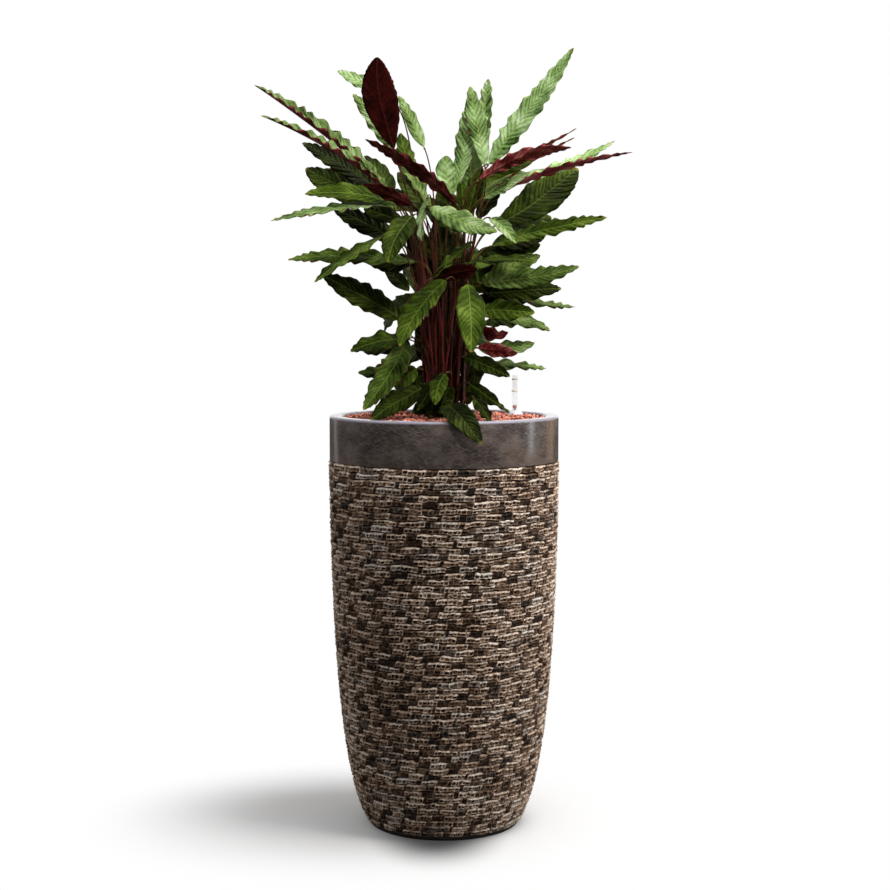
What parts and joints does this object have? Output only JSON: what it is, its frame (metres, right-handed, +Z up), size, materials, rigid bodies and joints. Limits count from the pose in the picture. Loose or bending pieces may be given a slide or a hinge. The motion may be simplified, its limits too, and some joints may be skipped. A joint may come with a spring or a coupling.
{
  "type": "potted velvet calathea",
  "caption": "Velvet calathea with long waved leaves, green above and burgundy below, in a tall round planter clad in thin stone courses.",
  "frame": {"origin": "middle of the planter's foot, on the floor", "axes": "+Z up, -Y towards the front of the plant, +X to the viewer's right"},
  "size_m": [0.6448, 0.4869, 1.3473],
  "materials": {
    "stone_courses": "rough, in thin staggered courses of tan and dark brown stone",
    "rim_glaze": "satin, clouded bronze grey",
    "dark_plastic": "matte",
    "clay_granules": "matte fired clay",
    "clear_plastic": "clear and glossy",
    "grey_plastic": "satin",
    "red_plastic": "satin",
    "leaf_stalk": "fine-haired dark red stalk",
    "leaf_blade": "velvet green with a pale midrib",
    "leaf_underside": "velvet burgundy"
  },
  "bodies": {
    "root": {"planter_body": "stone_courses", "rim_band": "rim_glaze", "liner": "dark_plastic", "granules_outer": "clay_granules", "culture_pot": "dark_plastic", "granules_inner": "clay_granules", "gauge_sleeve": "clear_plastic", "gauge_foot": "grey_plastic", "gauge_float": "red_plastic", "leaf_stalks": "leaf_stalk", "leaf_left_spears": "leaf_blade", "leaf_left_dark_pair": "leaf_blade", "leaf_left_bright_pair": "leaf_blade", "leaf_left_shaded": "leaf_blade", "leaf_left_tip_small": "leaf_blade", "leaf_left_behind_red": "leaf_blade", "leaf_red_upright": "leaf_underside", "leaf_upper_left_small": "leaf_blade", "leaf_upper_left_tucked": "leaf_blade", "leaf_red_crossing": "leaf_underside", "leaf_red_left": "leaf_underside", "leaf_top_middle_low_pair": "leaf_blade", "leaf_top_middle_pair": "leaf_blade", "leaf_top_right_pair": "leaf_blade", "leaf_red_right_pair": "leaf_underside", "leaf_right_spears": "leaf_underside", "leaf_right_low_spears": "leaf_underside", "leaf_right_dark_pair": "leaf_blade", "leaf_right_wavy_pair": "leaf_blade", "leaf_right_droop_lime": "leaf_blade", "leaf_front_bright": "leaf_blade", "leaf_front_left_droop": "leaf_blade", "leaf_front_curl": "leaf_blade", "leaf_front_tucked": "leaf_blade", "leaf_mid_centre_pair": "leaf_blade", "leaf_mid_left_pair": "leaf_blade", "leaf_mid_left_crossing": "leaf_blade", "leaf_mid_left_broad": "leaf_blade", "leaf_front_left_broad": "leaf_blade", "leaf_front_middle": "leaf_blade", "leaf_mid_right_lime": "leaf_blade", "leaf_mid_right_high_pair": "leaf_blade", "leaf_mid_right_broad_pair": "leaf_blade", "leaf_mid_right_front_pair": "leaf_blade", "leaf_mid_right_low_pair": "leaf_blade", "leaf_low_red_pair": "leaf_underside", "leaf_low_right_wavy_pair": "leaf_blade", "leaf_low_right_dark": "leaf_blade", "leaf_low_right_front_pair": "leaf_blade", "leaf_low_front_small": "leaf_blade", "leaf_over_rim": "leaf_blade", "leaf_low_left_trio": "leaf_blade", "leaf_low_left_dark_pair": "leaf_blade", "leaf_low_left_front": "leaf_blade", "leaf_low_front_pair": "leaf_blade", "leaf_back_high_left_pair": "leaf_blade", "leaf_back_high_right_pair": "leaf_blade", "leaf_back_middle_trio": "leaf_blade", "leaf_back_left_pair": "leaf_blade", "leaf_back_low_four": "leaf_blade"}
  },
  "joints": []
}
